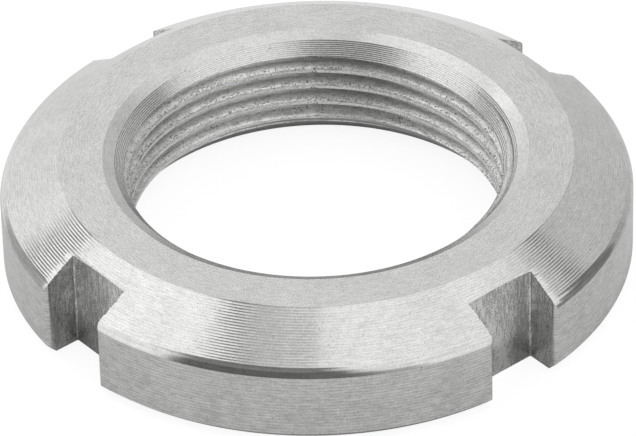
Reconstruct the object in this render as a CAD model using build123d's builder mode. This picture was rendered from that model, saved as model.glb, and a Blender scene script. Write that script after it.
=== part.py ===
from build123d import *
import os
from math import radians, tan

# Slotted round lock nut for a shaft bearing, lying on its back face.
# The origin is the centre of the back face, +Z is the nut's axis and leaves
# through the coned front face. All sizes are in millimetres.

# Body
outer_diameter = 32.0
thickness = 6.0

# Front face: a flat ring, then a wide cone down to the rim
front_ring_diameter = 26.0
cone_angle = 31.6           # measured from the front face
rim_radius = 0.6            # rounding between the cone and the outer wall

# Back face
back_edge_break = 0.5

# Bore, at the crests of its thread
thread_diameter = 20.0
thread_pitch = 1.0
thread_depth_share = 0.54127    # crest to root of a 60 degree thread, for a pitch of 1

# Front mouth of the bore: a shallow dish, then a 45 degree lead-in
lead_in_clearance = 0.15    # the lead-in's wide end, outside the thread's roots
dish_width = 0.6            # radial
dish_angle = 25.8           # measured from the front face

# Back mouth of the bore, a 45 degree countersink
back_mouth_clearance = 0.55     # its wide end, outside the thread's roots

# Spanner slots, open to both faces
slot_count = 4
slot_width = 4.0
slot_depth = 2.0
slot_mouth_radius = 0.25    # where the slot walls meet the outer wall

# Worked out from the sizes above
outer_radius = outer_diameter / 2
ring_radius = front_ring_diameter / 2
rim_height = thickness - (outer_radius - ring_radius) * tan(radians(cone_angle))
root_radius = thread_diameter / 2
bore_radius = root_radius - thread_depth_share * thread_pitch
lead_in_radius = root_radius + lead_in_clearance
dish_radius = lead_in_radius + dish_width
lead_in_top = thickness - dish_width * tan(radians(dish_angle))
lead_in_bottom = lead_in_top - (lead_in_radius - bore_radius)
back_mouth_radius = root_radius + back_mouth_clearance
back_mouth_height = back_mouth_radius - bore_radius

with BuildPart() as lock_nut:
    # Half section of the turned blank, from the back face up round the outside
    with BuildSketch(Plane.XZ) as section:
        with BuildLine():
            Polyline(
                (back_mouth_radius, 0),
                (outer_radius - back_edge_break, 0),
                (outer_radius, back_edge_break),
                (outer_radius, rim_height),
                (ring_radius, thickness),
                (dish_radius, thickness),
                (lead_in_radius, lead_in_top),
                (bore_radius, lead_in_bottom),
                (bore_radius, back_mouth_height),
                close=True,
            )
        make_face()
        # The edge where the cone meets the outer wall
        rim_corner = section.vertices().group_by(Axis.X)[-1].sort_by(Axis.Y)[-1]
        fillet(rim_corner, rim_radius)
    revolve(axis=Axis.Z)

    # Plan of the milled nut: the spanner slots, with their mouths rounded
    with BuildSketch(Plane.XY) as plan:
        Circle(outer_radius)
        with PolarLocations(outer_radius, slot_count):
            Rectangle(2 * slot_depth, slot_width, mode=Mode.SUBTRACT)
        slot_mouths = plan.vertices().group_by(SortBy.DISTANCE)[-1]
        fillet(slot_mouths, slot_mouth_radius)
    extrude(amount=thickness, mode=Mode.INTERSECT)

lock_nut.part.label = "lock_nut"

os.makedirs("parts", exist_ok=True)
export_step(lock_nut.part, "parts/lock_nut.step")
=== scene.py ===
import math

import bmesh
import bpy
import numpy as np
from mathutils import Matrix


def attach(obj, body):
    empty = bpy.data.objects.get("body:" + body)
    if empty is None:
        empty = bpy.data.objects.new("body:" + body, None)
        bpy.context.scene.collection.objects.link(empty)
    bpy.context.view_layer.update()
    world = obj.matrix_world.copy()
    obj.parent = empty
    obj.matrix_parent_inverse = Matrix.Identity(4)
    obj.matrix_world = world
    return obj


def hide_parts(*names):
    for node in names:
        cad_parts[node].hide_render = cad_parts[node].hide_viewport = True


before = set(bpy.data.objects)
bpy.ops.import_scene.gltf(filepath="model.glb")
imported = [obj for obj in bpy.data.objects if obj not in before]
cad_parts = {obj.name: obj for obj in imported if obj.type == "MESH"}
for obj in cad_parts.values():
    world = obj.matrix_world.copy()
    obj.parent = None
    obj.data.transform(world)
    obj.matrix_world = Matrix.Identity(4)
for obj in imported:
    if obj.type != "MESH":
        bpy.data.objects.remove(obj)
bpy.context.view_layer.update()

millimetre = 0.001


# Turned and milled nut
# Everything in this part is in millimetres, and azimuths are in radians from +X.

nut = {
    "outer": 16.0,          # radii, heights
    "thick": 6.0,
    "ring": 13.0,           # where the flat ring ends and the cone begins
    "coneTilt": math.radians(31.6),
    "rimRound": 0.86,
    "coneCrease": math.radians(4),      # left where the rounding meets the cone
    "wallCrease": math.radians(13),     # and where it meets the outer wall
    "backBreak": 0.5,
    "slotHalf": 2.0,
    "slotFloor": 14.0,
    "mouthRound": 0.25,     # the slot walls' rounding into the outer wall
    "cornerRound": 0.09,    # left by the cutter where a slot's wall meets its floor
    "edgeRound": 0.04,      # worn edge between the cone and the slots
    "edgeFade": 0.4,        # it thins out over this stretch before the outer wall
    "edgeWear": 1.1,        # how far its size varies along a slot
    "wearWaves": ((0.22, 0.6), (0.07, 0.6)),    # spacing and share of each wave of that variation
    "wearLimits": (-0.7, 3),            # its least and most, in shares of the edge's size
    "wearStart": 0.15,      # it begins at the slot's inner corner and is full this far out
    "ridgeMarks": 102,      # feed marks down the cone: so many would fill the ring's radius
    "ridgeRise": 0.0036,
    "ridgeFade": 0.02,      # they end over this stretch before the rim
    "ridgeRows": 6,         # rows of points to a mark
    "rimRows": 12,
    "landColumns": 46,      # between two slots
    "slotColumns": 8,
    "wallRows": 6,
    "wallFirst": 0.012,     # a wall's first row lies close under its edge, a share of its height down
    "wallEvery": 8,         # rows of the cone to one column of a slot's wall
    "cornerRows": 20,       # rows over which the wall's columns lead away from the inner corner
}
finishes = ["conedSteel", "facedSteel", "wallSteel", "milledSteel", "boreSteel", "leadInSteel", "dishSteel"]
coned, faced, walled, milled, bored, leadIn, dished = range(len(finishes))
sameRadius = 1e-6       # radii this close count as one

allPoints, allQuads, allTriangles, quadFinish, triangleFinish = [], [], [], [], []


def addPoints(points):
    # Keeps a block of points and gives their numbers in the same layout.
    first = sum(len(block) for block in allPoints)
    flat = points.reshape(-1, 3)
    allPoints.append(flat)
    return first + np.arange(len(flat)).reshape(points.shape[:-1])


def addGrid(points, finish):
    # A sheet of quads over a grid of points, one finish or one for each quad.
    index = addPoints(points)
    quads = np.stack([index[:-1, :-1], index[1:, :-1], index[1:, 1:], index[:-1, 1:]], -1)
    allQuads.append(quads.reshape(-1, 4))
    quadFinish.append(np.broadcast_to(finish, quads.shape[:2]).reshape(-1))
    return index


def zipRows(fine, coarse, fineAt, coarseAt, finish):
    # Triangles between a row of many points and a row of few, matched by their places along the row.
    fineMiddle = (fineAt[1:] + fineAt[:-1]) / 2
    coarseMiddle = (coarseAt[1:] + coarseAt[:-1]) / 2
    nearest = np.searchsorted(coarseMiddle, fineMiddle)
    turning = np.searchsorted(fineMiddle, coarseMiddle, side="right")
    allTriangles.append(np.stack([fine[:-1], fine[1:], coarse[nearest]], -1))
    allTriangles.append(np.stack([coarse[1:], coarse[:-1], fine[turning]], -1))
    triangleFinish.append(np.full(len(nearest) + len(turning), finish))


def turned(radius, azimuth, height):
    # Points of a turned surface: radius and azimuth in plan, and a height.
    return np.stack(np.broadcast_arrays(radius * np.cos(azimuth), radius * np.sin(azimuth), height), -1)


def feedMarks(distance, pitch, rise):
    # Round-nosed tool marks: parabolas side by side, crests at 0 and grooves below.
    across = distance / pitch % 1.0
    return rise * ((2 * across - 1) ** 2 - 1)


# The cone, and the rim's rounding, which meets the cone and the outer wall in slight creases.
tilt = nut["coneTilt"]
ridgePitch = nut["ring"] / nut["ridgeMarks"]    # measured along the radius
rimCentre = nut["outer"] - nut["rimRound"] * math.cos(nut["wallCrease"])
rimCentreHeight = (nut["thick"] - (rimCentre - nut["ring"]) * math.tan(tilt)
                   - nut["rimRound"] * math.cos(nut["coneCrease"]) / math.cos(tilt))
rimStart = rimCentre + nut["rimRound"] * math.sin(tilt + nut["coneCrease"])


def shoulderHeight(radius, marked=True):
    # Height over radius: a straight fall from the flat ring, with its feed marks, then the rim's arc.
    cone = nut["thick"] - (radius - nut["ring"]) * math.tan(tilt)
    if marked:
        fade = np.clip((rimStart - radius) / nut["ridgeFade"], 0, 1)
        marks = feedMarks(radius - nut["ring"], ridgePitch, nut["ridgeRise"])
        cone = cone + fade * marks / math.cos(tilt)
    inside = np.clip(nut["rimRound"] ** 2 - (radius - rimCentre) ** 2, 0, None)
    return np.where(radius > rimStart, rimCentreHeight + np.sqrt(inside), cone)


def slotEdge(radius, inset):
    # Where a circle meets the slot's side in plan: a straight wall, then the mouth's arc.
    # The inset moves the side into the metal.
    side = nut["slotHalf"] + inset
    reach = nut["outer"] - nut["mouthRound"]
    centreY = nut["slotHalf"] + nut["mouthRound"]
    centreX = math.sqrt(reach ** 2 - centreY ** 2)
    straight = np.sqrt(radius ** 2 - side ** 2)
    cosine = (radius ** 2 + reach ** 2 - (nut["mouthRound"] - inset) ** 2) / (2 * radius * reach)
    arcAzimuth = math.atan2(centreY, centreX) - np.arccos(np.clip(cosine, -1, 1))
    onArc = straight > centreX
    return np.stack([np.where(onArc, radius * np.cos(arcAzimuth), straight),
                     np.where(onArc, radius * np.sin(arcAzimuth), side)], -1)


# Rows of the shoulder, from the slots' inner corners out to the wall.
edge = nut["edgeRound"]
cornerRadius = math.hypot(nut["slotFloor"] - edge, nut["slotHalf"] + edge)
cornerAzimuth = math.atan2(nut["slotHalf"] + edge, nut["slotFloor"] - edge)
backRim = nut["outer"] - nut["backBreak"]
rowStep = ridgePitch / nut["ridgeRows"]
tooClose = 0.4 * rowStep
coneRows = np.arange(nut["ring"] + rowStep, rimStart - tooClose, rowStep)
rimAngles = np.linspace(math.pi / 2 - tilt - nut["coneCrease"], nut["wallCrease"], nut["rimRows"] + 1)
rimRows = rimCentre + nut["rimRound"] * np.cos(rimAngles)
clearOfBoth = (coneRows > cornerRadius + tooClose) & (abs(coneRows - backRim) > rowStep / 2)
skinRadius = np.sort(np.concatenate([[cornerRadius, backRim], coneRows[clearOfBoth], rimRows]))
skinHeight = shoulderHeight(skinRadius)

# Plan of a slot's side: the wall, with its inner corner rounded from floor to wall.
corner = nut["cornerRound"]
cornerTurn = np.radians([0, 22.5, 45, 67.5, 90])
cornerArc = np.stack([nut["slotFloor"] + corner * (1 - np.cos(cornerTurn)),
                      nut["slotHalf"] - corner * (1 - np.sin(cornerTurn))], -1)
wallSide = slotEdge(skinRadius, np.zeros_like(skinRadius))
leadAway = np.clip(1 - (np.arange(len(skinRadius)) - 2) / nut["cornerRows"], 0, 1)
wallSide[:, 0] += (cornerArc[-1, 0] - wallSide[2, 0]) * leadAway
wallSide[:3] = cornerArc[2:]

# Slot walls: few columns under the shoulder's many.
onWall = np.flatnonzero(skinRadius <= rimStart + sameRadius)
keptColumns = np.unique(np.concatenate([
    [0, 1, 2], onWall[nut["wallEvery"]::nut["wallEvery"]], np.flatnonzero(skinRadius == backRim),
    [onWall[-1]], np.flatnonzero(skinRadius > rimStart)]))
columnPlan = wallSide[keptColumns]
columnRadius = np.hypot(columnPlan[:, 0], columnPlan[:, 1])
columnFoot = np.clip(columnRadius - backRim, 0, None)
wallSteps = np.insert(np.linspace(0, 1, nut["wallRows"] + 1), 1, nut["wallFirst"])
wallAlong = np.concatenate([[0], np.cumsum(np.hypot(*np.diff(wallSide, axis=0).T))])
# The rounded mouth has the outer wall's finish
wallFinish = np.where(columnRadius[1:] > rimStart + sameRadius, walled, milled)

edgeAngle = np.radians([0, 30, 60, 90])
edgeAcross, edgeDrop = 1 - np.cos(edgeAngle), 1 - np.sin(edgeAngle)
wearing = np.random.default_rng(7)


def wornSide():
    # One side of a slot. The worn edge is four columns from the wall up on to the shoulder, and its
    # size varies: random numbers at even places along the slot, joined by straight lines.
    wear = np.zeros_like(skinRadius)
    for spacing, share in nut["wearWaves"]:
        places = np.arange(nut["slotFloor"] - spacing, nut["outer"] + spacing, spacing)
        wear += share * np.interp(skinRadius, places, wearing.standard_normal(len(places)))
    begun = np.clip((skinRadius - cornerRadius) / nut["wearStart"], 0, 1)
    wear = np.clip(nut["edgeWear"] * wear, *nut["wearLimits"]) * begun
    size = edge * (1 + wear) * np.clip((nut["outer"] - skinRadius) / nut["edgeFade"], 0, 1)
    topSide = slotEdge(skinRadius, size)
    plan = wallSide[:, None] + (topSide - wallSide)[:, None] * edgeAcross[:, None]
    plainHeight = shoulderHeight(np.hypot(plan[..., 0], plan[..., 1]), False)
    markHeight = skinHeight - shoulderHeight(skinRadius, False)
    height = plainHeight - size[:, None] * edgeDrop + edgeAcross * markHeight[:, None]
    strip = np.concatenate([plan, height[..., None]], -1)
    columnTop = strip[keptColumns, 0]
    heights = columnTop[:, 2] + (columnFoot - columnTop[:, 2]) * wallSteps[1:, None]
    wall = np.stack(np.broadcast_arrays(columnPlan[:, 0], columnPlan[:, 1], heights), -1)
    return strip, wall, np.arctan2(topSide[:, 1], topSide[:, 0])


mirrored = [1, 0, 2]        # swaps x and y: across the middle of the land


def landAzimuths(first, last):
    # Even steps over the land: it begins and ends these angles away from the middles of its two slots.
    steps = np.linspace(0, 1, nut["landColumns"] + 1)
    return first[..., None] + (math.pi / 2 - first - last)[..., None] * steps


def allRound(azimuths):
    # A quarter's azimuths, each a right angle further on in the next quarter, and the first once more.
    quarters = [azimuths + quarter * math.pi / 2 for quarter in range(4)]
    return np.concatenate(quarters + [[azimuths[0] + 2 * math.pi]])


def fourTimes(radii):
    # A quarter's radii for all four quarters, and the first once more.
    return np.append(np.tile(radii, 4), radii[0])


# Outer wall, and the back face with its broken edge, which share the slot walls' columns.
rimHeight = rimCentreHeight + nut["rimRound"] * math.sin(nut["wallCrease"])
mouthAzimuth = np.arctan2(wallSide[-1, 1], wallSide[-1, 0])
outerHeights = rimHeight + (nut["backBreak"] - rimHeight) * wallSteps
outerWall = turned(nut["outer"], landAzimuths(mouthAzimuth, mouthAzimuth)[None], outerHeights[:, None])
backAzimuth = np.arctan2(columnPlan[:, 1], columnPlan[:, 0])
backSkin = turned(columnRadius[:, None], landAzimuths(backAzimuth, backAzimuth), columnFoot[:, None])
backIsFace = (columnRadius[1:] < backRim + sameRadius)[:, None]

# Slot floor, with its own worn edge.
straightHalf = cornerArc[0, 1]
floorFoot = np.concatenate([cornerArc[2:0:-1] * [1, -1],
                            np.stack([np.full(nut["slotColumns"] - 1, nut["slotFloor"]),
                                      np.linspace(-straightHalf, straightHalf, nut["slotColumns"] - 1)], -1),
                            cornerArc[1:3]])
floorTop = np.stack([np.full(len(floorFoot), nut["slotFloor"] - edge),
                     floorFoot[:, 1] * (nut["slotHalf"] + edge) / floorFoot[-1, 1]], -1)
floorPlan = floorFoot + (floorTop - floorFoot) * edgeAcross[:, None, None]
floorX, floorY = floorPlan[..., 0], floorPlan[..., 1]
floorRadius = np.hypot(floorX, floorY)
innerMarks = shoulderHeight(floorRadius[-1]) - shoulderHeight(floorRadius[-1], False)
floorEdgeHeight = (shoulderHeight(floorRadius, False) - edge * edgeDrop[:, None]
                   + edgeAcross[:, None] * innerMarks)
floorEdge = np.stack([floorX, floorY, floorEdgeHeight], -1)
floorWall = np.stack(np.broadcast_arrays(floorX[0], floorY[0],
                                         floorEdgeHeight[0] * (1 - wallSteps[:, None])), -1)

for cosine, sine in ((1, 0), (0, 1), (-1, 0), (0, -1)):
    turn = np.array([[cosine, sine, 0], [-sine, cosine, 0], [0, 0, 1]], float)
    firstStrip, firstWall, firstAzimuth = wornSide()
    lastStrip, lastWall, lastAzimuth = wornSide()
    land = turned(skinRadius[:, None], landAzimuths(firstAzimuth, lastAzimuth), skinHeight[:, None])
    addGrid(land @ turn, coned)
    for strip, wall in ((firstStrip, firstWall), (lastStrip[..., mirrored], lastWall[..., mirrored])):
        addGrid(strip @ turn, coned)
        top = addPoints(strip[:, 0] @ turn)
        foot = addGrid(wall @ turn, wallFinish)
        zipRows(top, foot[0], wallAlong, wallAlong[keptColumns], milled)
    addGrid(outerWall @ turn, walled)
    addGrid(backSkin @ turn, np.where(backIsFace, faced, walled))
    addGrid(floorEdge @ turn, coned)
    addGrid(floorWall @ turn, milled)

# Full rings inside the slots: columns follow the slots' corners.
slotAzimuths = np.arctan2(floorY[-1], floorX[-1])
landColumnAzimuths = landAzimuths(np.array(cornerAzimuth), np.array(cornerAzimuth))
outerAzimuths = allRound(np.concatenate([slotAzimuths[:-1], landColumnAzimuths[:-1]]))
reach = fourTimes(np.concatenate([floorRadius[-1, :-1], np.full(nut["landColumns"], cornerRadius)]))
innerRows = np.concatenate([[nut["ring"]], coneRows[coneRows < cornerRadius], [cornerRadius]])
innerConeRadius = np.minimum(innerRows[:, None], reach)
addGrid(turned(innerConeRadius, outerAzimuths, shoulderHeight(innerConeRadius)), coned)
print("coned shoulder, slots and walls laid out")


# Threaded bore and its mouths

bore = {
    "dish": 10.75,          # radii
    "leadIn": 10.15,
    "back": 10.55,
    "backFall": 0.87,       # how fast the countersink behind closes in: radius over height
    "crest": 9.45873,
    "root": 10.0,
    "leadInTop": 5.70995,
    "pitch": 1.0,
    "flankTilt": math.radians(60),      # from the axis
    "crestHeight": 0.084,   # height of a crest at azimuth 0
    "crestHalf": 0.125,     # a crest's half width along the axis, in pitches
    "crestSoften": 0.024,   # rounding of the crest's corners
    "rootSoften": 0.08,     # and of the root's
    "cleanTop": 1.75,       # the countersink's burr is cleaned off below this height
    "cleanAzimuth": (1.35, 1.15),       # around the first azimuth, the second to either side
    "cleanFade": (0.1, 0.3),            # the height and the azimuth over which the cleaned part ends
    "scarAzimuth": 0.888,   # a scratch down the crests
    "scarHalf": 0.012,      # its half width in radians
    "scarAcross": 0.3,      # and along the axis, in pitches from each crest
    "scarDepth": 0.07,
    "leadInMarks": 78,      # feed marks from the back face up to the lead-in's top
    "leadInRise": 0.0090,
    "leadInRows": 5,        # rows of points to a mark
    "helixTop": 4.93,       # between these heights the rows follow the helix
    "helixFoot": 1.35,
    "plainFoot": 0.60,      # below this there is only the countersink
    "footRows": 26,
    "columns": 400,
}
tears = {
    "size": 0.018,          # torn metal on the crest's upper edge and, less, on the crest
    "bands": ((0.17, 0.07, 1.0), (0.0, 0.1, 0.35)),     # each band's middle, half width (pitches), share
    "turns": 8,             # the noise runs along the helix for so many turns
    "acrossSteps": 32,
    "fineShare": 0.55,      # three layers of noise: shares, and blurs along the helix and across it in steps
    "fineBlur": (1.1, 1.2),
    "broadShare": 0.45,
    "broadBlur": (6.0, 2.0),
    "flakeShare": 0.9,      # flakes are the peaks of the third
    "flakeBlur": (0.9, 1.0),
    "flakeFrom": 1.7,
    "flakeMost": 2,
}
pitch, columns = bore["pitch"], bore["columns"]
leadInPitch = bore["leadInTop"] / bore["leadInMarks"]   # measured along the axis
boreAzimuths = outerAzimuths[0] + np.linspace(0, 2 * math.pi, columns + 1)
tearing = np.random.default_rng(20)


def smoothNoise(along, acrossIt):
    # Random numbers blurred with a wrapped bell curve each way, scaled to a spread of 1.
    noise = tearing.standard_normal((tears["turns"] * columns, tears["acrossSteps"]))
    for axis, width in ((0, along), (1, acrossIt)):
        frequency = np.fft.fftfreq(noise.shape[axis])
        bell = np.exp(-2 * (math.pi * width * frequency) ** 2)
        shape = [1, 1]
        shape[axis] = -1
        noise = np.fft.ifft(np.fft.fft(noise, axis=axis) * bell.reshape(shape), axis=axis).real
    return noise / noise.std()


# Rows go along the helix, and columns across it from one root to the next.
torn = tears["fineShare"] * smoothNoise(*tears["fineBlur"])
torn = torn + tears["broadShare"] * smoothNoise(*tears["broadBlur"])
flakes = smoothNoise(*tears["flakeBlur"]) - tears["flakeFrom"]
torn = torn + tears["flakeShare"] * np.clip(flakes, 0, tears["flakeMost"])


def tornAt(azimuth, crest, across):
    # The noise at a place along the helix and across the thread, blended between its four nearest numbers.
    alongPlace = (azimuth / (2 * math.pi) + crest) * columns
    steps = tears["acrossSteps"] - 1
    acrossPlace = np.clip((across + 0.5) * steps, 0, steps - 0.001)
    i, j = np.floor(alongPlace).astype(int), acrossPlace.astype(int)
    iShare, jShare = alongPlace - i, acrossPlace - j
    i, nextI = i % len(torn), (i + 1) % len(torn)
    return ((1 - iShare) * ((1 - jShare) * torn[i, j] + jShare * torn[i, j + 1])
            + iShare * ((1 - jShare) * torn[nextI, j] + jShare * torn[nextI, j + 1]))


def cleanedShare(azimuth, height):
    # 1 where the last turn was cleaned after the countersink was cut, and 0 elsewhere.
    middle, half = bore["cleanAzimuth"]
    heightFade, azimuthFade = bore["cleanFade"]
    low = np.clip((bore["cleanTop"] - height) / heightFade, 0, 1)
    return low * np.clip((half - abs(azimuth - middle)) / azimuthFade, 0, 1)


def threadRadius(azimuth, height):
    # The distance from the nearest crest gives crest, flank or root, with softened corners.
    # Tears and the scratch are added to that.
    turns = (height - bore["crestHeight"]) / pitch - azimuth / (2 * math.pi)
    crest = np.floor(turns + 0.5)
    across = turns - crest
    flank = bore["crest"] + (abs(across) - bore["crestHalf"]) * pitch * math.tan(bore["flankTilt"])
    soft = bore["crestSoften"]
    profile = bore["crest"] + soft * np.logaddexp(0, (flank - bore["crest"]) / soft)
    soft = bore["rootSoften"]
    profile = bore["root"] - soft * np.logaddexp(0, (bore["root"] - profile) / soft)
    band = sum(share * np.exp(-((across - middle) / half) ** 2) for middle, half, share in tears["bands"])
    band = band * (1 - cleanedShare(azimuth, height))
    scarred = (np.exp(-((azimuth - bore["scarAzimuth"]) / bore["scarHalf"]) ** 2)
               * np.exp(-(across / bore["scarAcross"]) ** 2))
    return profile + tears["size"] * band * tornAt(azimuth, crest, across) + bore["scarDepth"] * scarred


upperEnd, lowerEnd, plainFoot = bore["helixTop"], bore["helixFoot"], bore["plainFoot"]
leadInStep = leadInPitch / bore["leadInRows"]
upperRows = np.append(np.arange(bore["leadInTop"], upperEnd, -leadInStep), upperEnd)
# One turn's rows, in pitches above its crest: closest on the torn edge
turnRows = np.array([-0.5, -0.4375, -0.37, -0.28, -0.19, -0.14, -0.10, -0.04, 0.03, 0.08, 0.12,
                     0.15, 0.19, 0.235, 0.29, 0.36, 0.43])
crestNumbers = np.arange(-2, 7)     # more than the bore holds: rows outside its stretch are left out
helixRows = np.sort((crestNumbers[:, None] + turnRows).ravel())[::-1]
lowerRows = np.append(np.linspace(lowerEnd, plainFoot, bore["footRows"]), [plainFoot / 2, 0.0])
helixHeights = bore["crestHeight"] + pitch * (boreAzimuths / (2 * math.pi) + helixRows[:, None])
helixHeights = np.clip(helixHeights, lowerEnd, upperEnd)
used = (helixHeights < upperEnd).any(1) & (helixHeights > lowerEnd).any(1)
boreHeights = np.concatenate([np.repeat(upperRows[:, None], columns + 1, 1), helixHeights[used],
                              np.repeat(lowerRows[:, None], columns + 1, 1)])
# The bore takes whichever cut goes deepest: the thread, the lead-in or the countersink behind.
# The lead-in slopes at 45 degrees, so along the radius its marks are longer by the root of 2.
threadCut = threadRadius(boreAzimuths, boreHeights)
fromTop = bore["leadInTop"] - boreHeights
leadInCut = bore["leadIn"] - fromTop - math.sqrt(2) * feedMarks(fromTop, leadInPitch, bore["leadInRise"])
leadInCut[0] = bore["leadIn"]
backCut = bore["back"] - bore["backFall"] * boreHeights
boreRadius = np.maximum(np.maximum(threadCut, leadInCut), backCut)
halfway = nut["thick"] / 2
isLeadIn = (leadInCut > threadCut) & (boreHeights > halfway)
isBack = (backCut > threadCut) & (boreHeights < halfway)
boreFinish = np.where(isLeadIn[1:, 1:] & isLeadIn[:-1, :-1], leadIn, bored)
boreFinish = np.where(isBack[1:, 1:] & isBack[:-1, :-1], dished, boreFinish)
addGrid(turned(boreRadius, boreAzimuths, boreHeights), boreFinish)

# On each face the slots' columns come in to the first radius, and the bore's go out to the second.
faces = {
    "frontMeeting": (12.3, 12.0),
    "frontMiddle": 11.2,
    "backMeeting": (12.5, 12.0),
    "dishRows": 5,
}

# Flat ring, then the dish.
slotSide, boreSide = faces["frontMeeting"]
ringOuter = addGrid(turned(np.array([[nut["ring"]], [slotSide]]), outerAzimuths, nut["thick"]), faced)
ringRadius = np.array([[boreSide], [faces["frontMiddle"]], [bore["dish"]]])
ringInner = addGrid(turned(ringRadius, boreAzimuths, nut["thick"]), faced)
zipRows(ringInner[0], ringOuter[-1], boreAzimuths, outerAzimuths, faced)
dishRadius = np.linspace(bore["dish"], bore["leadIn"], faces["dishRows"])[:, None]
dishHeight = np.interp(dishRadius, [bore["leadIn"], bore["dish"]], [bore["leadInTop"], nut["thick"]])
addGrid(turned(dishRadius, boreAzimuths, dishHeight), dished)

# Back face inside the slots.
slotSide, boreSide = faces["backMeeting"]
backLand = landAzimuths(backAzimuth[0], backAzimuth[0])
backAzimuths = allRound(np.concatenate([np.arctan2(floorY[0, :-1], floorX[0, :-1]), backLand[:-1]]))
backEdge = fourTimes(np.concatenate([floorRadius[0, :-1], np.full(nut["landColumns"], columnRadius[0])]))
backOuter = addGrid(turned(np.stack([backEdge, np.full_like(backEdge, slotSide)]), backAzimuths, 0.0), faced)
backInner = addGrid(turned(np.array([[boreSide], [bore["back"]]]), boreAzimuths, 0.0), faced)
zipRows(backInner[0], backOuter[-1], boreAzimuths - boreAzimuths[0], backAzimuths - backAzimuths[0], faced)
print("thread and mouths laid out")


# Materials

def newGroup(name, inputs, outputs):
    # A shader node group with its named sockets: (name, socket type, default).
    group = bpy.data.node_groups.new(name, "ShaderNodeTree")
    for label, kind, default in inputs:
        socket = group.interface.new_socket(label, in_out="INPUT", socket_type=kind)
        if default is not None:
            socket.default_value = default
    for label, kind in outputs:
        group.interface.new_socket(label, in_out="OUTPUT", socket_type=kind)
    return group, group.nodes.new("NodeGroupInput"), group.nodes.new("NodeGroupOutput")


def addNode(tree, kind, settings=None, **inputs):
    # A node with its settings, and each input given as a value or as another node's output.
    # Inputs go by name, with _ for a space, or by number: i0, i1.
    node = tree.nodes.new(kind)
    for key, value in (settings or {}).items():
        setattr(node, key, value)
    for key, value in inputs.items():
        numbered = key[0] == "i" and key[1:].isdigit()
        socket = node.inputs[int(key[1:]) if numbered else key.replace("_", " ")]
        if isinstance(value, bpy.types.NodeSocket):
            tree.links.new(value, socket)
        else:
            socket.default_value = value
    return node


def addMath(tree, operation, first, second=0.0, third=0.0):
    return addNode(tree, "ShaderNodeMath", {"operation": operation}, i0=first, i1=second, i2=third).outputs[0]


def addNoise(tree, place, scale, detail, roughness=0.5):
    return addNode(tree, "ShaderNodeTexNoise", Vector=place, Scale=scale, Detail=detail,
                   Roughness=roughness).outputs[0]


def addRamp(tree, value, low, high, top=1.0):
    # From 0 at low to top at high, starting and ending smoothly.
    return addNode(tree, "ShaderNodeMapRange", {"interpolation_type": "SMOOTHSTEP"}, Value=value,
                   From_Min=low, From_Max=high, To_Max=top).outputs[0]


def mixValues(tree, share, first, second):
    return addNode(tree, "ShaderNodeMix", {"data_type": "FLOAT"}, Factor=share, i2=first, i3=second).outputs[0]


def mixColours(tree, share, first, second):
    return addNode(tree, "ShaderNodeMix", {"data_type": "RGBA"}, Factor=share, i6=first, i7=second).outputs[2]


def mixShaders(tree, share, first, second):
    return addNode(tree, "ShaderNodeMixShader", i0=share, i1=first, i2=second).outputs[0]


def grey(level):
    return (level, level, level, 1)


textures = {
    # Scales are per mm
    "streakAcross": 1.3,        # how fast the tool marks' streaks change from mark to mark
    "streakRound": 26.0,        # and round the axis
    "waveHalf": 0.25,           # half height of the even marks' wave
    "patchScale": 0.5,          # patches where the marks are more even or less
    "milledStretch": 0.22,      # of the milled streaks, up the wall
    "milledBroadScale": 1.4,
    "milledBroadShare": 0.4,
    "cloudScale": 0.5,
    "pitScale": 12.0,
    "pitClouds": 0.12,          # how far the pits gather in the clouds
    "pitLimit": 0.88,           # noise above this level is a pit
    "pitGain": -0.10,           # how far the Pits input lowers that level
    "pitEdge": 0.06,
    "roughness": 0.6,           # of the noise in streaks and grain
}


def makeFeedLines():
    # Fine tool marks round the axis: a cosine over their count, or noise drawn out into streaks, patch by
    # patch. Along 0 counts them by radius, and along 1 by height.
    group, given, out = newGroup("feedLines", [
        ("Vector", "NodeSocketVector", None), ("Along", "NodeSocketFloat", 0.0),
        ("Pitch", "NodeSocketFloat", 0.17), ("Even", "NodeSocketFloat", 0.5)],
        [("Line", "NodeSocketFloat")])
    scaled = addNode(group, "ShaderNodeVectorMath", {"operation": "SCALE"}, i0=given.outputs["Vector"],
                     Scale=1 / millimetre).outputs[0]
    split = addNode(group, "ShaderNodeSeparateXYZ", Vector=scaled)
    flat = addNode(group, "ShaderNodeCombineXYZ", X=split.outputs[0], Y=split.outputs[1]).outputs[0]
    radius = addNode(group, "ShaderNodeVectorMath", {"operation": "LENGTH"}, i0=flat).outputs["Value"]
    heading = addNode(group, "ShaderNodeVectorMath", {"operation": "NORMALIZE"}, i0=flat)
    turn = addNode(group, "ShaderNodeSeparateXYZ", Vector=heading.outputs[0])
    height = addMath(group, "MULTIPLY", split.outputs[2], given.outputs["Along"])
    kept = addMath(group, "SUBTRACT", 1.0, given.outputs["Along"])
    distance = addMath(group, "MULTIPLY_ADD", radius, kept, height)
    count = addMath(group, "DIVIDE", distance, given.outputs["Pitch"])
    # The streaks' noise is read round a circle, so that it has no seam
    place = addNode(group, "ShaderNodeCombineXYZ", X=addMath(group, "MULTIPLY", count, textures["streakAcross"]),
                    Y=addMath(group, "MULTIPLY", turn.outputs[0], textures["streakRound"]),
                    Z=addMath(group, "MULTIPLY", turn.outputs[1], textures["streakRound"]))
    streak = addNoise(group, place.outputs[0], 1.0, 2.0, textures["roughness"])
    cosine = addMath(group, "COSINE", addMath(group, "MULTIPLY", count, 2 * math.pi))
    wave = addMath(group, "MULTIPLY_ADD", cosine, textures["waveHalf"], 0.5)
    patch = addMath(group, "MULTIPLY", addNoise(group, scaled, textures["patchScale"], 2.0), 2.0)
    share = addMath(group, "MULTIPLY", patch, given.outputs["Even"])
    group.links.new(mixValues(group, share, streak, wave), out.inputs["Line"])
    return group


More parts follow.
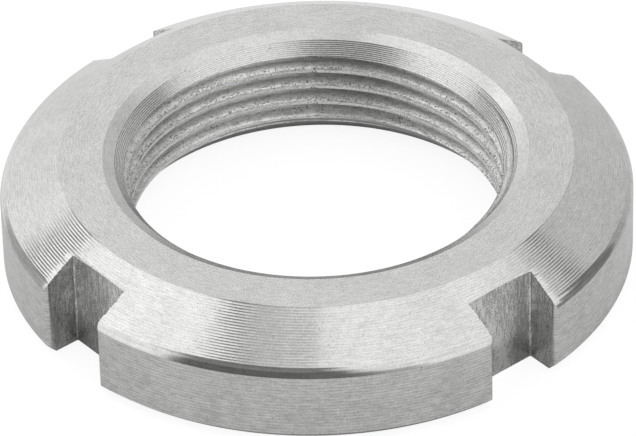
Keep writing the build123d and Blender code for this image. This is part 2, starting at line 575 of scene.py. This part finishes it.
def makeMilledStreaks():
    # Streaks that run along the cutter's feed, up and down the slot's walls: fine noise and broad noise,
    # both drawn out upwards.
    group, given, out = newGroup("milledStreaks", [
        ("Vector", "NodeSocketVector", None), ("Fineness", "NodeSocketFloat", 7.0)],
        [("Line", "NodeSocketFloat")])
    stretch = (1 / millimetre, 1 / millimetre, textures["milledStretch"] / millimetre)
    place = addNode(group, "ShaderNodeMapping", Vector=given.outputs["Vector"], Scale=stretch).outputs[0]
    fine = addNoise(group, place, given.outputs["Fineness"], 3.0, textures["roughness"])
    broad = addNoise(group, place, textures["milledBroadScale"], 2.0)
    broadShare = textures["milledBroadShare"]
    fine = addMath(group, "MULTIPLY", fine, 1 - broadShare)
    group.links.new(addMath(group, "MULTIPLY_ADD", broad, broadShare, fine), out.inputs["Line"])
    return group


def makeMetalGrain():
    # The grain of bare steel: fine mottling, small dark pits and cloudy handling marks.
    group, given, out = newGroup("metalGrain", [
        ("Vector", "NodeSocketVector", None), ("Fineness", "NodeSocketFloat", 9.0),
        ("Pits", "NodeSocketFloat", 0.3)],
        [("Grain", "NodeSocketFloat"), ("Pit", "NodeSocketFloat"), ("Cloud", "NodeSocketFloat")])
    place = addNode(group, "ShaderNodeMapping", Vector=given.outputs["Vector"],
                    Scale=(1 / millimetre,) * 3).outputs[0]
    fine = addNoise(group, place, given.outputs["Fineness"], 2.0, textures["roughness"])
    cloud = addNoise(group, place, textures["cloudScale"], 4.0)
    spots = addNoise(group, place, textures["pitScale"], 0.0)
    patchy = addMath(group, "MULTIPLY_ADD", cloud, textures["pitClouds"], spots)
    limit = addMath(group, "MULTIPLY_ADD", given.outputs["Pits"], textures["pitGain"], textures["pitLimit"])
    pit = addRamp(group, patchy, limit, addMath(group, "ADD", limit, textures["pitEdge"]))
    for value, label in ((fine, "Grain"), (pit, "Pit"), (cloud, "Cloud")):
        group.links.new(value, out.inputs[label])
    return group


feedLines, milledStreaks, metalGrain = makeFeedLines(), makeMilledStreaks(), makeMetalGrain()

steelLooks = {
    # lines: how they run, their spacing (mm) or fineness, how even they are; shades are gains on
    # the colour between dark and light; depths in mm
    # On the cone and the lead-in the even lines keep step with the mesh's feed marks: lighter on their crests,
    # darker in their grooves
    "conedSteel": {"lines": {"Along": 0.0, "Pitch": ridgePitch, "Even": 0.3}, "lineShade": 1.5,
                   "lineDepth": 0.0, "grainShade": 1.4, "grainDepth": 0.0007, "rough": 0.11, "pits": 0.3},
    "facedSteel": {"lines": {"Along": 0.0, "Pitch": 0.065, "Even": 0.2}, "lineShade": 2.4, "lineDepth": 0.0024,
                   "grainShade": 3.4, "fineness": 15.0, "grainDepth": 0.0014, "rough": 0.22, "pits": 0.3},
    "dishSteel": {"lines": {"Along": 0.0, "Pitch": 0.10, "Even": 0.2}, "lineShade": 1.2, "lineDepth": 0.0008,
                  "grainShade": 1.2, "grainDepth": 0.0008, "rough": 0.25, "pits": 0.3},
    "wallSteel": {"lines": {"Along": 1.0, "Pitch": 0.18, "Even": 0.3}, "lineShade": 2.4, "lineDepth": 0.0036,
                  "grainShade": 1.7, "grainDepth": 0.0014, "rough": 0.22, "pits": 0.3},
    "milledSteel": {"lines": {"Fineness": 8.0}, "lineShade": 8.0, "lineDepth": 0.030, "grainShade": 5.0,
                    "grainDepth": 0.0060, "rough": 0.22, "pits": 0.9, "spread": 1.35},
    # The bore's steel is shifted lighter than the others: painted light in the bore
    "boreSteel": {"lines": {"Along": 1.0, "Pitch": 0.09, "Even": 0.0}, "lineShade": 2.6, "lineDepth": 0.0060,
                  "grainShade": 3.0, "grainDepth": 0.0110, "rough": 0.32, "pits": 1.0, "shift": 0.18},
    "leadInSteel": {"lines": {"Along": 1.0, "Pitch": leadInPitch, "Even": 0.8}, "lineShade": 2.4,
                    "lineDepth": 0.0, "grainShade": 2.2, "grainDepth": 0.0010, "rough": 0.26, "pits": 0.7},
}
allSteels = {
    "colour": np.array([0.61, 0.61, 0.60]),
    "pitColour": (0.26, 0.25, 0.235, 1),
    "span": 0.23,           # how much darker and lighter than the steel's own colour its marks are
    "cloudShade": 0.65,
    "fineness": 11.0,       # of the grain, where a look has none of its own
    "tornDepth": (0.03, 0.3),       # more pits between these shares of the thread's depth
    "rootShadeDepth": (0.2, 1.0),        # painted shade in the thread's roots: the colour falls to that of pits between these
    "paintedRootShade": 0.45,      # by this share
    "marksFrom": 0.3,       # marks at this level and below are smoothest, and at the next level roughest
    "marksTo": 0.7,
    "smoother": 0.03,       # against the look's own roughness
    "rougher": 0.04,
}


def makeSteel(name, look):
    material = bpy.data.materials.new(name)
    material.use_nodes = True
    tree = material.node_tree
    shader = tree.nodes["Principled BSDF"]
    shader.inputs["Metallic"].default_value = 1.0
    place = tree.nodes.new("ShaderNodeTexCoord").outputs["Object"]
    marks = feedLines if "Along" in look["lines"] else milledStreaks
    line = addNode(tree, "ShaderNodeGroup", {"node_tree": marks}, Vector=place, **look["lines"]).outputs["Line"]
    # Thread only: more pits in the torn metal beside the crests, and painted shade darkening the roots
    depth = addNode(tree, "ShaderNodeAttribute", {"attribute_name": "threadDepth"}).outputs["Fac"]
    shallow, deep = allSteels["tornDepth"]
    besideCrest = addMath(tree, "MULTIPLY", addMath(tree, "LESS_THAN", depth, deep),
                          addMath(tree, "GREATER_THAN", depth, shallow))
    pits = addMath(tree, "ADD", look["pits"], besideCrest)
    grain = addNode(tree, "ShaderNodeGroup", {"node_tree": metalGrain}, Vector=place,
                    Fineness=look.get("fineness", allSteels["fineness"]), Pits=pits).outputs
    # Colour between dark and light steel, moved by each mark's distance from its middle value, and lifted by the
    # look's shift, which is painted light
    cloudShade = allSteels["cloudShade"]
    middle = 0.5 + look.get("shift", 0.0) - 0.5 * (look["lineShade"] + look["grainShade"] + cloudShade)
    tone = addMath(tree, "MULTIPLY_ADD", line, look["lineShade"], middle)
    tone = addMath(tree, "MULTIPLY_ADD", grain["Grain"], look["grainShade"], tone)
    tone = addMath(tree, "MULTIPLY_ADD", grain["Cloud"], cloudShade, tone)
    span = allSteels["span"] * look.get("spread", 1.0)
    colour = mixColours(tree, tone, (*allSteels["colour"] * (1 - span), 1), (*allSteels["colour"] * (1 + span), 1))
    colour = mixColours(tree, grain["Pit"], colour, allSteels["pitColour"])
    # Painted shade: the thread darkens towards the pits' colour the deeper it lies in its groove
    paintedRootShade = addRamp(tree, depth, *allSteels["rootShadeDepth"], allSteels["paintedRootShade"])
    colour = mixColours(tree, paintedRootShade, colour, allSteels["pitColour"])
    tree.links.new(colour, shader.inputs["Base Color"])
    lineHalf = addMath(tree, "MULTIPLY", line, 0.5)
    rough = addNode(tree, "ShaderNodeMapRange", Value=addMath(tree, "MULTIPLY_ADD", grain["Cloud"], 0.5, lineHalf),
                    From_Min=allSteels["marksFrom"], From_Max=allSteels["marksTo"],
                    To_Min=look["rough"] - allSteels["smoother"], To_Max=look["rough"] + allSteels["rougher"])
    tree.links.new(rough.outputs[0], shader.inputs["Roughness"])
    lineBump = addNode(tree, "ShaderNodeBump", Height=line, Distance=look["lineDepth"] * millimetre, Strength=1.0)
    relief = addMath(tree, "MULTIPLY_ADD", grain["Pit"], -1.0, grain["Grain"])
    grainBump = addNode(tree, "ShaderNodeBump", Height=relief, Distance=look["grainDepth"] * millimetre,
                        Strength=1.0, Normal=lineBump.outputs[0])
    tree.links.new(grainBump.outputs[0], shader.inputs["Normal"])
    return material


steels = [makeSteel(name, steelLooks[name]) for name in finishes]
print("materials made:", ", ".join(finishes))


# One closed mesh

meshing = {
    "weld": 0.0008,         # points closer than this become one
    "nearThread": 0.003,    # points this close to the thread's surface are on it
    "sharpFrom": math.radians(24),
}

points = np.concatenate(allPoints) * millimetre
quads, triangles = np.concatenate(allQuads), np.concatenate(allTriangles)
mesh = bpy.data.meshes.new("slottedLockNut")
mesh.from_pydata(points.tolist(), [], quads.tolist() + triangles.tolist())
mesh.polygons.foreach_set("material_index", np.concatenate(quadFinish + triangleFinish).astype(np.int32))
for steel in steels:
    mesh.materials.append(steel)
work = bmesh.new()
work.from_mesh(mesh)
bmesh.ops.remove_doubles(work, verts=work.verts, dist=meshing["weld"] * millimetre)
bmesh.ops.recalc_face_normals(work, faces=work.faces)
openEdges = sum(not joint.is_manifold for joint in work.edges)
triangleCount = sum(len(face.verts) - 2 for face in work.faces)
work.to_mesh(mesh)
work.free()

# How deep each point of the thread lies, 0 at the crests and 1 at the roots, for its steel, which paints shade
# into the roots by it and adds pits beside the crests.
placed = np.empty(len(mesh.vertices) * 3)
mesh.vertices.foreach_get("co", placed)
x, y, height = placed.reshape(-1, 3).T / millimetre
radius = np.hypot(x, y)
turnAzimuth = boreAzimuths[0] + (np.arctan2(y, x) - boreAzimuths[0]) % (2 * math.pi)
onThread = abs(radius - threadRadius(turnAzimuth, height)) < meshing["nearThread"]
depth = np.clip((radius - bore["crest"]) / (bore["root"] - bore["crest"]), 0, 1) * onThread
# Where the last turn was cleaned the depth counts as 0: no painted root shade there, and fewer pits
depth *= 1 - cleanedShare(turnAzimuth, height)
mesh.attributes.new("threadDepth", "FLOAT", "POINT").data.foreach_set("value", depth.astype(np.float32))
mesh.polygons.foreach_set("use_smooth", np.ones(len(mesh.polygons), bool))
mesh.set_sharp_from_angle(angle=meshing["sharpFrom"])
nutPiece = bpy.data.objects.new("slottedLockNut", mesh)
bpy.context.scene.collection.objects.link(nutPiece)
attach(nutPiece, "root")
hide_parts("lock_nut")
print("nut meshed:", triangleCount, "triangles,", openEdges, "open edges")


# Camera, floor and light

view = {
    "azimuth": math.radians(-129.11),   # where the camera stands
    "away": 0.24604,                    # metres from the axis
    "height": 0.18410,
    "down": 0.6378,                     # tilt of the view, radians
    "roll": 0.0277,
    "yaw": 0.0001,
    "focalPixels": 6032.6,              # focal length in pixels of the photo
    "photoWidth": 636,
    "sensorWidth": 36,                  # mm
    "nearest": 0.005,                   # metres: nothing closer is drawn
}


def placeCamera():
    # Axes worked out from tilt, yaw and roll, then turned to the camera's azimuth.
    down, yaw, roll = view["down"], view["yaw"], view["roll"]
    forward = np.array([math.sin(yaw) * math.cos(down), math.cos(yaw) * math.cos(down), -math.sin(down)])
    right = np.array([math.cos(yaw), -math.sin(yaw), 0])
    low = np.cross(forward, right)
    rolledRight = math.cos(roll) * right + math.sin(roll) * low
    rolledLow = math.cos(roll) * low - math.sin(roll) * right
    turn = view["azimuth"] + math.pi / 2
    spin = np.array([[math.cos(turn), -math.sin(turn), 0], [math.sin(turn), math.cos(turn), 0], [0, 0, 1]])
    axes = np.eye(4)
    axes[:3, :3] = spin @ np.stack([rolledRight, -rolledLow, -forward], 1)
    axes[:3, 3] = spin @ np.array([0, -view["away"], view["height"]])
    camera = bpy.data.objects.new("camera", bpy.data.cameras.new("camera"))
    camera.data.lens = view["sensorWidth"] * view["focalPixels"] / view["photoWidth"]
    camera.data.clip_start = view["nearest"]
    camera.matrix_world = Matrix(axes.tolist())
    bpy.context.scene.collection.objects.link(camera)
    bpy.context.scene.camera = camera


placeCamera()

studio = {
    "floorHalf": 0.9,           # metres
    "floorDrop": 2e-5,          # the floor lies this far under the nut
    "floorColour": 0.70,
    "seenWhite": 0.88,          # the floor as the camera sees it: plain white, and a little that takes shadow
    "seenShadow": 0.20,
    "shineLevel": 0.74,         # the floor's brightness in the metal, close to the nut
    "shineShare": 0.6,          # the rest is the floor with its shadow
    "holeShare": 1.0,           # the same, inside the bore
    "underNut": (0.0091, 0.01045, 0.0152, 0.0164),   # between the middle two the floor shows only its shadow
    "underShift": 0.0004,       # that shadow lies this far to the camera's right
    "shineReach": (0.027, 0.031),   # further out than this the metal sees the studio's own light
    "shineShift": 0.012,        # measured from a point this far towards the camera
    "level": 1.03,              # light from all round
    # White panels and the darker gaps between them, each over what comes before it: middle azimuth,
    # half width, lowest and highest elevation, softness of the edges (degrees), level.
    # Azimuths count from the camera's right, so the camera stands at -90.
    "panels": {
        "rightBack": (50, 35, -95, 60, 11, 0.74),
        "backLow": (98, 15, -95, 14, 8, 0.88),
        "rightGlow": (36, 9, 45, 58, 3, 1.12),
        "rightTail": (42, 7, -95, 15, 3, 0.64),
        "rightFade": (32, 6, -95, 22, 3, 0.54),
        "rightPanel": (-37, 39, -95, 95, 4, 1.12),
        "rightGap": (17, 10, -95, 42.5, 1.5, 0.24),
        "rightLow": (9, 12, -95, 21, 3, 0.24),
        "rightFoot": (0, 12, -95, 7, 3, 0.28),
        "overhead": (-28, 66, 50, 95, 4, 1.17),
        "overheadTop": (-34, 40, 74, 95, 4, 1.25),
        "cameraFade": (-84, 28, -95, 12, 5, 0.58),
        "cameraLow": (-91.5, 20.5, -95, 21, 6, 0.28),
        "cameraRight": (-95.5, 16.5, -95, 44, 6, 0.20),
        "cameraSide": (-98, 12, -95, 66, 8, 0.18),
        "cameraGap": (-117.5, 24, -95, 66, 4, 0.17),
        "cameraMiddle": (-121, 30, 34, 57, 4, 0.28),
        "cameraHigh": (-119, 38, 57, 71, 2.5, 0.27),
        "aboveCamera": (-130, 36, 70, 80, 2, 0.76),
        "aboveLeft": (150, 55, 76.5, 84, 2, 0.76),
        "leftPanel": (-168, 25, -95, 44, 4, 1.18),
        "leftGlow": (131, 10, 17, 46, 3, 1.15),
        "leftHigh": (167, 31, 37, 76, 2, 1.36),
        "leftDip": (134, 8, 42.5, 49, 3, 0.95),
        "leftCrest": (135.5, 7.5, 34.5, 42, 2, 1.85),
        "leftLow": (143, 8, -95, 14, 4, 0.62),
        "leftGap": (155, 13.5, -95, 33.5, 2, 0.52),
        "leftEdge": (153, 7, 27, 35.5, 1.5, 0.28),
    },
}


def distanceFrom(tree, place, centre):
    node = addNode(tree, "ShaderNodeVectorMath", {"operation": "DISTANCE"}, i0=place, i1=centre)
    return node.outputs["Value"]


def makeFloor():
    half, low = studio["floorHalf"], -studio["floorDrop"]
    mesh = bpy.data.meshes.new("studioFloor")
    corners = [(-half, -half, low), (half, -half, low), (half, half, low), (-half, half, low)]
    mesh.from_pydata(corners, [], [(0, 1, 2, 3)])
    floor = bpy.data.objects.new("studioFloor", mesh)
    bpy.context.scene.collection.objects.link(floor)
    material = bpy.data.materials.new("paleFloor")
    material.use_nodes = True
    tree = material.node_tree
    tree.nodes.clear()
    plain = addNode(tree, "ShaderNodeBsdfDiffuse", Color=grey(studio["floorColour"])).outputs[0]
    shadowed = addNode(tree, "ShaderNodeBsdfDiffuse", Color=grey(studio["seenShadow"])).outputs[0]
    white = addNode(tree, "ShaderNodeEmission", Color=grey(studio["seenWhite"]), Strength=1.0).outputs[0]
    whitened = addNode(tree, "ShaderNodeAddShader", i0=shadowed, i1=white).outputs[0]
    # In the metal: an even grey close to the nut, and beyond it the panels
    shine = addNode(tree, "ShaderNodeEmission", Color=grey(1), Strength=studio["shineLevel"]).outputs[0]
    place = tree.nodes.new("ShaderNodeTexCoord").outputs["Object"]
    sine, cosine = math.sin(view["azimuth"]), math.cos(view["azimuth"])
    away = distanceFrom(tree, place, (-studio["underShift"] * sine, studio["underShift"] * cosine, 0))
    holeEdge, shadowStart, shadowEnd, outerEdge = studio["underNut"]
    inner = addRamp(tree, away, shadowStart, holeEdge, studio["holeShare"])
    outer = addRamp(tree, away, shadowEnd, outerEdge, studio["shineShare"])
    shining = mixShaders(tree, addMath(tree, "ADD", inner, outer), plain, shine)
    outward = distanceFrom(tree, place, (studio["shineShift"] * cosine, studio["shineShift"] * sine, 0))
    beyond = addRamp(tree, outward, *studio["shineReach"])
    clear = tree.nodes.new("ShaderNodeBsdfTransparent").outputs[0]
    inMetal = mixShaders(tree, beyond, shining, clear)
    ray = tree.nodes.new("ShaderNodeLightPath").outputs
    either = mixShaders(tree, ray["Is Glossy Ray"], plain, inMetal)
    either = mixShaders(tree, ray["Is Camera Ray"], either, whitened)
    out = tree.nodes.new("ShaderNodeOutputMaterial")
    tree.links.new(either, out.inputs["Surface"])
    mesh.materials.append(material)


def makeWorld():
    # Even white light with panels and gaps: each is a window over azimuth and elevation with soft edges.
    # The camera itself sees plain white.
    world = bpy.data.worlds.new("softStudio")
    world.use_nodes = True
    bpy.context.scene.world = world
    tree = world.node_tree
    tree.nodes.clear()
    direction = tree.nodes.new("ShaderNodeTexCoord").outputs["Generated"]
    split = addNode(tree, "ShaderNodeSeparateXYZ", Vector=direction)
    azimuth = addMath(tree, "ARCTAN2", split.outputs[1], split.outputs[0])
    elevation = addMath(tree, "ARCSINE", split.outputs[2])

    def window(value, low, high, soft):
        # 1 between low and high, fading to 0 over the soft width at each
        rise = addRamp(tree, value, math.radians(low - soft), math.radians(low + soft))
        fall = addRamp(tree, value, math.radians(high + soft), math.radians(high - soft))
        return addMath(tree, "MULTIPLY", rise, fall)

    level = studio["level"]
    for middle, half, low, high, soft, strength in studio["panels"].values():
        turn = math.radians(middle) + view["azimuth"] + math.pi / 2
        aside = addMath(tree, "WRAP", addMath(tree, "SUBTRACT", azimuth, turn), math.pi, -math.pi)
        inside = addMath(tree, "MULTIPLY", window(aside, -half, half, soft), window(elevation, low, high, soft))
        level = mixValues(tree, inside, level, strength)
    light = addNode(tree, "ShaderNodeBackground", Color=grey(1), Strength=level).outputs[0]
    white = addNode(tree, "ShaderNodeBackground", Color=grey(1), Strength=1.0).outputs[0]
    ray = tree.nodes.new("ShaderNodeLightPath").outputs
    either = mixShaders(tree, ray["Is Camera Ray"], light, white)
    out = tree.nodes.new("ShaderNodeOutputWorld")
    tree.links.new(either, out.inputs["Surface"])


makeFloor()
makeWorld()
bpy.context.scene.view_settings.view_transform = "Standard"
print("camera, floor and light set")
